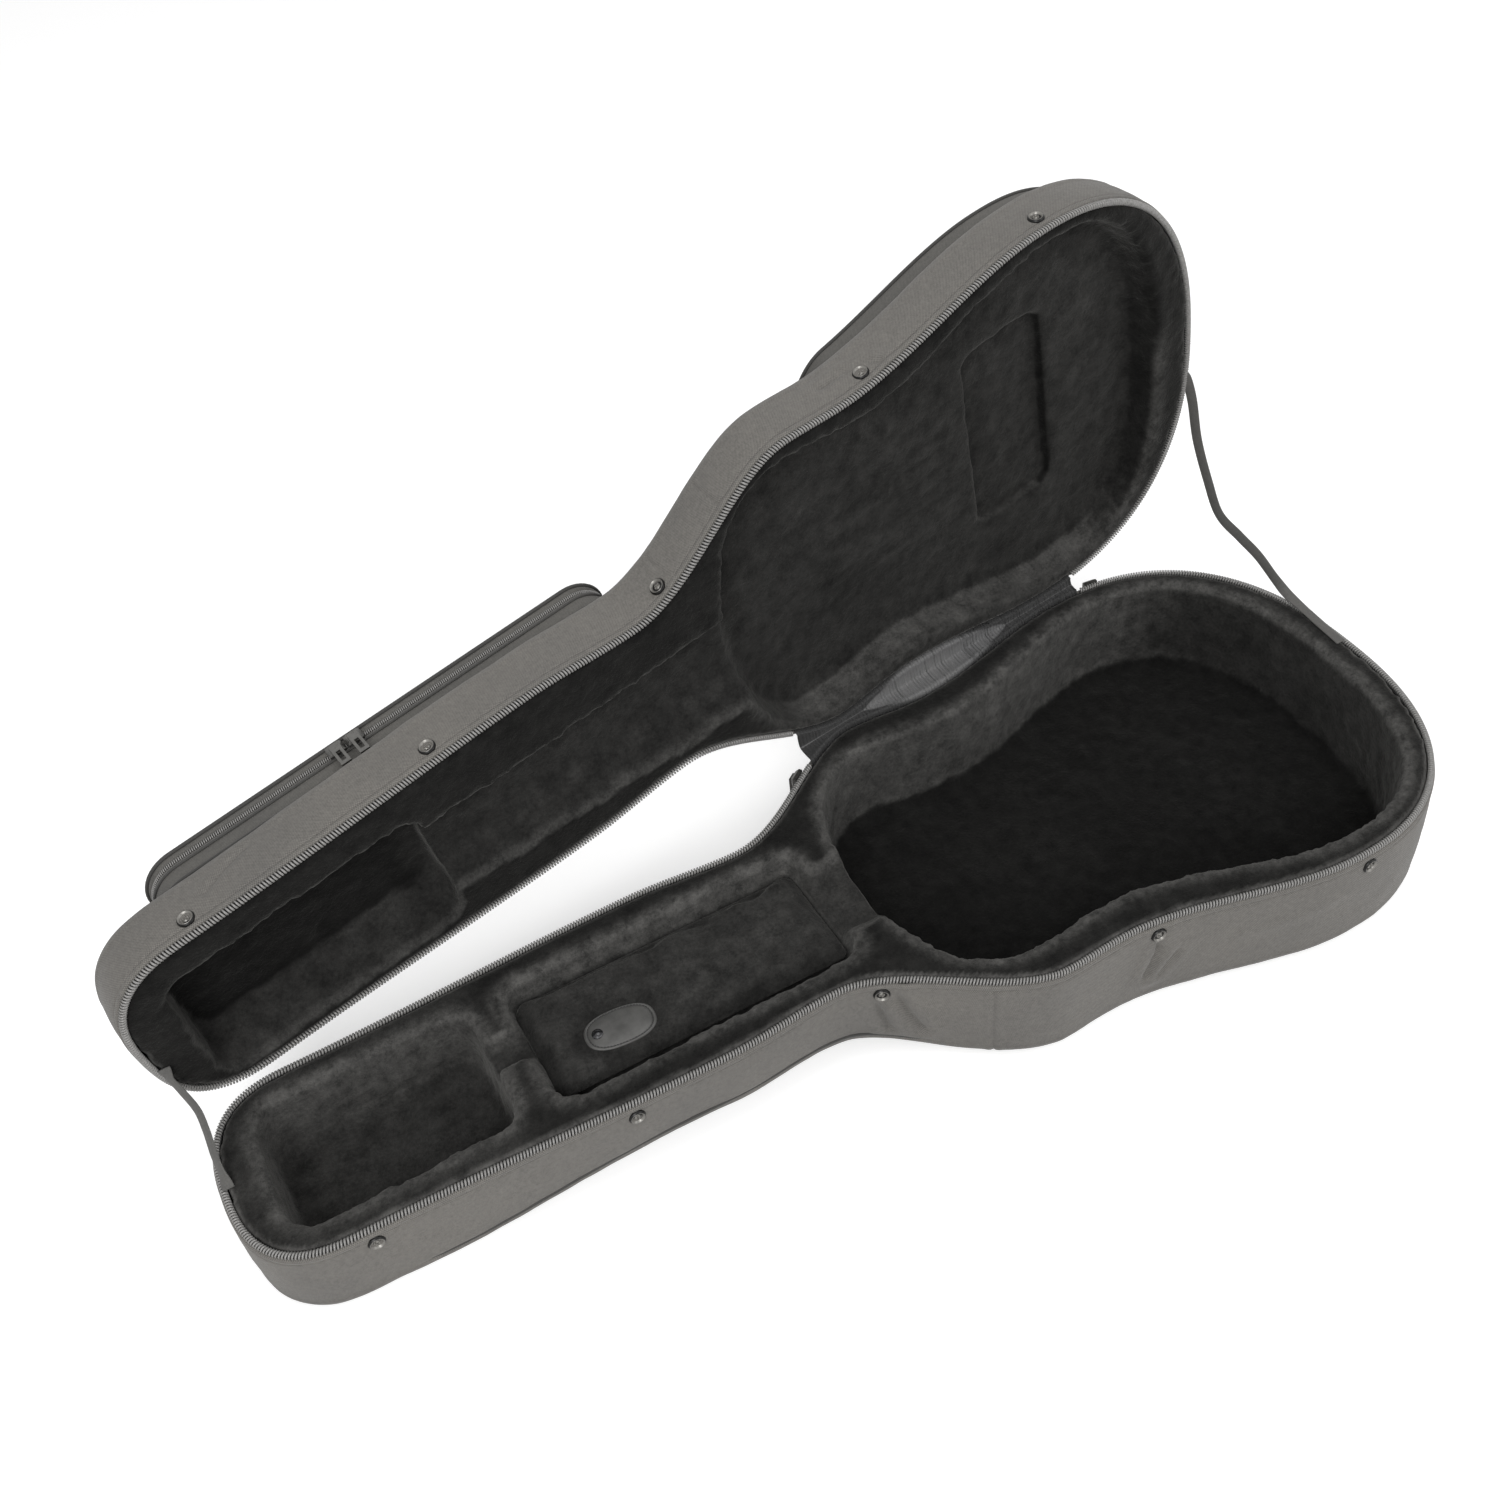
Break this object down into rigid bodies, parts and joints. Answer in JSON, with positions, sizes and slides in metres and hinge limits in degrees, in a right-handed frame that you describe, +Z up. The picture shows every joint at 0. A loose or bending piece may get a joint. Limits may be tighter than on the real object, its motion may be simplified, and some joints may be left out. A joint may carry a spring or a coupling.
{
  "type": "guitar gig bag",
  "caption": "Zip-up padded guitar case, open on its cloth hinge: plush wells for body, neck and head, a lidded compartment and outer pockets.",
  "frame": {"origin": "on the flat underside of the base, on its centre line, below the waist end of the compartment", "axes": "+X along the case from headstock to tail, +Y from the zip side to the hinge side, +Z up"},
  "size_m": [1.1054, 0.5101, 0.5126],
  "materials": {
    "nylon": "matt woven nylon, padded",
    "plush": "short black plush pile",
    "foam": "moulded foam, hidden under the nylon and the plush",
    "coil": "satin zip coil",
    "metal": "dark nickel",
    "leather": "soft, lightly grained",
    "webbing": "woven nylon tape",
    "rubber": "soft grip"
  },
  "bodies": {
    "base": {"base_bottom_panel": "nylon", "base_foam_shell": "foam", "base_hinge_cloth": "nylon", "base_piping": "webbing", "base_plush_lining": "plush", "base_side_band": "nylon", "base_zip_chain": "coil", "base_zip_tape": "webbing", "base_washer_1": "metal", "base_washer_2": "metal", "base_washer_3": "metal", "base_washer_4": "metal", "base_washer_5": "metal", "neck_rest_block": "plush", "heel_cradle": "plush", "main_slider_head": "metal", "main_slider_tail": "metal", "handle_anchor_head": "rubber", "handle_anchor_tail": "rubber", "lid_stay_head": "webbing", "lid_stay_tail": "webbing"},
    "lid": {"lid_top_panel": "nylon", "lid_foam_shell": "foam", "lid_hinge_cloth": "nylon", "lid_piping": "webbing", "lid_plush_lining": "plush", "lid_side_band": "nylon", "lid_zip_chain": "coil", "lid_zip_tape": "webbing", "lid_neck_pocket_gusset": "nylon", "lid_neck_pocket_panel": "nylon", "lid_neck_pocket_zip": "coil", "lid_body_pocket": "nylon", "lid_washer_1": "metal", "lid_washer_2": "metal", "lid_washer_3": "metal", "lid_washer_4": "metal", "lid_washer_5": "metal"},
    "compartment_lid": {"compartment_lid": "plush"},
    "pull_tab": {"pull_tab": "leather", "tab_snap": "metal"},
    "carry_handle": {"carry_handle": "rubber"},
    "pocket_slider_a": {"pocket_slider_a": "metal"},
    "pocket_slider_b": {"pocket_slider_b": "metal"},
    "pocket_pull_a": {"pocket_pull_a": "metal"},
    "pocket_pull_b": {"pocket_pull_b": "metal"},
    "main_pull_head": {"main_pull_head": "metal"},
    "main_pull_tail": {"main_pull_tail": "metal"}
  },
  "joints": [
    {"name": "lid_hinge", "type": "hinge", "parent": "base", "child": "lid", "pos_m": [-0.16682, 0.14636, 0.09417], "axis": [-0.9901, -0.1376, -0.0293], "range_deg": [-88.9, 0], "deforming": ["lid_stay_head", "lid_stay_tail"]},
    {"name": "compartment_hinge", "type": "hinge", "parent": "base", "child": "compartment_lid", "pos_m": [-0.13209, 0, 0.08399], "axis": [0, 1, 0], "range_deg": [0, 95]},
    {"name": "tab_hinge", "type": "hinge", "parent": "compartment_lid", "child": "pull_tab", "pos_m": [-0.29571, -0.02245, 0.07945], "axis": [0.2078, 0.9781, 0.0062], "range_deg": [0, 80]},
    {"name": "handle_swing", "type": "hinge", "parent": "base", "child": "carry_handle", "pos_m": [0.09563, 0.18402, 0.06593], "axis": [0.9908, 0.1321, 0.0294], "range_deg": [0, 80]},
    {"name": "pocket_zip_a", "type": "slide", "parent": "lid", "child": "pocket_slider_a", "axis": [0.9769, 0.1337, 0.1666], "range_m": [0, 0.19]},
    {"name": "pocket_zip_b", "type": "slide", "parent": "lid", "child": "pocket_slider_b", "axis": [0.9769, 0.1337, 0.1666], "range_m": [-0.13, 0]},
    {"name": "pocket_pull_a_swing", "type": "hinge", "parent": "pocket_slider_a", "child": "pocket_pull_a", "pos_m": [-0.42836, 0.18873, 0.28775], "axis": [-0.9769, -0.1337, -0.1666], "range_deg": [0, 150]},
    {"name": "pocket_pull_b_swing", "type": "hinge", "parent": "pocket_slider_b", "child": "pocket_pull_b", "pos_m": [-0.44448, 0.18653, 0.28501], "axis": [-0.9769, -0.1337, -0.1666], "range_deg": [0, 150]},
    {"name": "main_pull_head_swing", "type": "hinge", "parent": "base", "child": "main_pull_head", "pos_m": [-0.07959, 0.13969, 0.09065], "axis": [0.8178, 0.575, 0.0242], "range_deg": [0, 80]},
    {"name": "main_pull_tail_swing", "type": "hinge", "parent": "base", "child": "main_pull_tail", "pos_m": [0.29051, 0.20622, 0.10162], "axis": [0.9915, -0.1265, 0.0294], "range_deg": [0, 80]}
  ]
}
